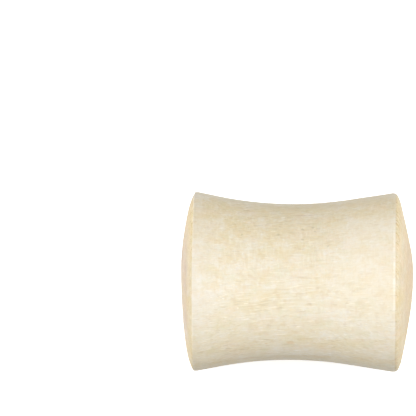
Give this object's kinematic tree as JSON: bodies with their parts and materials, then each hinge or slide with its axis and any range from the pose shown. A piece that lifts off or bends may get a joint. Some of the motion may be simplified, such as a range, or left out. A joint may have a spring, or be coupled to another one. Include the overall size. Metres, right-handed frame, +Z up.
{
  "type": "ear plug",
  "caption": "Solid double flared ear plug turned from pale wood, with a hollow curved side between two rims and a low dome at each end.",
  "frame": {"origin": "on the plug's axis, at the middle of its waist, where the ear lobe sits", "axes": "+X along the plug's axis towards the end with the rounded rim and the taller dome, +Z up as it lies on its side on both rims, and the pictured side faces -Y"},
  "size_m": [0.0118, 0.0092, 0.0092],
  "materials": {
    "turned_wood": "sanded, unvarnished, fine straight grain along the axis"
  },
  "bodies": {
    "root": {"plug": "turned_wood"}
  },
  "joints": []
}
